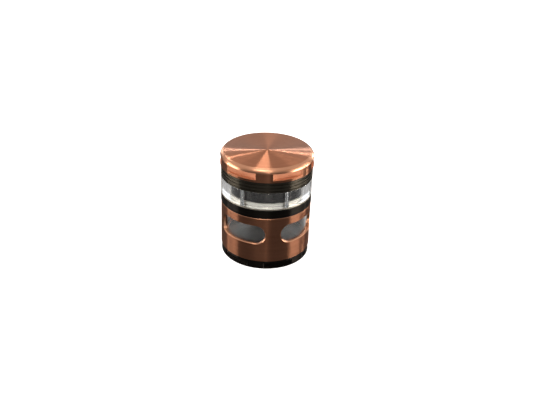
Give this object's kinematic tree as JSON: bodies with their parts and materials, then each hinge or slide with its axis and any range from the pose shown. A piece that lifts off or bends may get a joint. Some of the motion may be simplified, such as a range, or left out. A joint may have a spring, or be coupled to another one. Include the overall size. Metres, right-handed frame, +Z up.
{
  "type": "herb grinder",
  "caption": "Round four-stage herb grinder with a magnetic toothed lid, clear-walled grinding chamber, slotted drum over a sieve and a screw-on catcher.",
  "frame": {"origin": "centre of the catcher's underside, on the surface the grinder stands on", "axes": "+Z up the common axis of all stages; the drum's slots face -Y, +X, +Y and -X"},
  "size_m": [0.063, 0.063, 0.075],
  "materials": {
    "copper_anodised": "turned and satin brushed, copper-coloured anodising",
    "black_anodised": "turned, black satin anodising",
    "clear_acrylic": "polished, clear",
    "bright_nickel": "turned bright",
    "magnet_nickel": "plated, satin",
    "steel_turned": "turned, satin",
    "steel_mesh": "woven wire",
    "nylon": "natural, satin",
    "seal_rubber": "matt"
  },
  "bodies": {
    "catcher": {"catcher": "black_anodised", "sieve_gasket": "nylon"},
    "sieve": {"sieve_frame": "steel_turned", "sieve_mesh": "steel_mesh", "sieve_clamp": "steel_turned"},
    "base_seal": {"base_seal": "seal_rubber"},
    "drum": {"drum": "copper_anodised"},
    "liner": {"drum_liner": "clear_acrylic", "liner_bottom_seal": "seal_rubber", "liner_top_seal": "seal_rubber"},
    "chamber_seal": {"chamber_seal": "seal_rubber"},
    "chamber": {"tooth_plate": "black_anodised", "plate_teeth": "black_anodised", "chamber_magnet": "magnet_nickel", "seat_seal": "seal_rubber", "window_seat": "bright_nickel", "window_ring": "clear_acrylic", "rim_seal": "seal_rubber", "chamber_rim": "black_anodised", "clamp_screws": "steel_turned"},
    "glide_ring": {"glide_ring": "nylon"},
    "lid": {"lid": "copper_anodised", "lid_teeth": "black_anodised", "lid_magnet": "magnet_nickel"}
  },
  "joints": [
    {"name": "drum_lift", "type": "slide", "parent": "catcher", "child": "sieve", "axis": [0, 0, 1], "range_m": [0, 0.035]},
    {"name": "drum_rise", "type": "slide", "parent": "sieve", "child": "base_seal", "axis": [0, 0, 1], "range_m": [0, 0.00413]},
    {"name": "drum_turn", "type": "hinge", "parent": "base_seal", "child": "drum", "pos_m": [0, 0, 0], "axis": [0, 0, 1], "range_deg": [0, 990]},
    {"name": "chamber_lift", "type": "slide", "parent": "drum", "child": "liner", "axis": [0, 0, 1], "range_m": [0, 0.035]},
    {"name": "chamber_rise", "type": "slide", "parent": "liner", "child": "chamber_seal", "axis": [0, 0, 1], "range_m": [0, 0.00413]},
    {"name": "chamber_turn", "type": "hinge", "parent": "chamber_seal", "child": "chamber", "pos_m": [0, 0, 0], "axis": [0, 0, 1], "range_deg": [0, 990]},
    {"name": "lid_lift", "type": "slide", "parent": "chamber", "child": "glide_ring", "axis": [0, 0, 1], "range_m": [0, 0.032]},
    {"name": "lid_spin", "type": "hinge", "parent": "glide_ring", "child": "lid", "pos_m": [0, 0, 0], "axis": [0, 0, 1], "continuous": true}
  ],
  "couplings": [
    {"joint": "drum_rise", "follows": "drum_turn", "m_per_rad": 0.00023873},
    {"joint": "chamber_rise", "follows": "chamber_turn", "m_per_rad": 0.00023873}
  ]
}
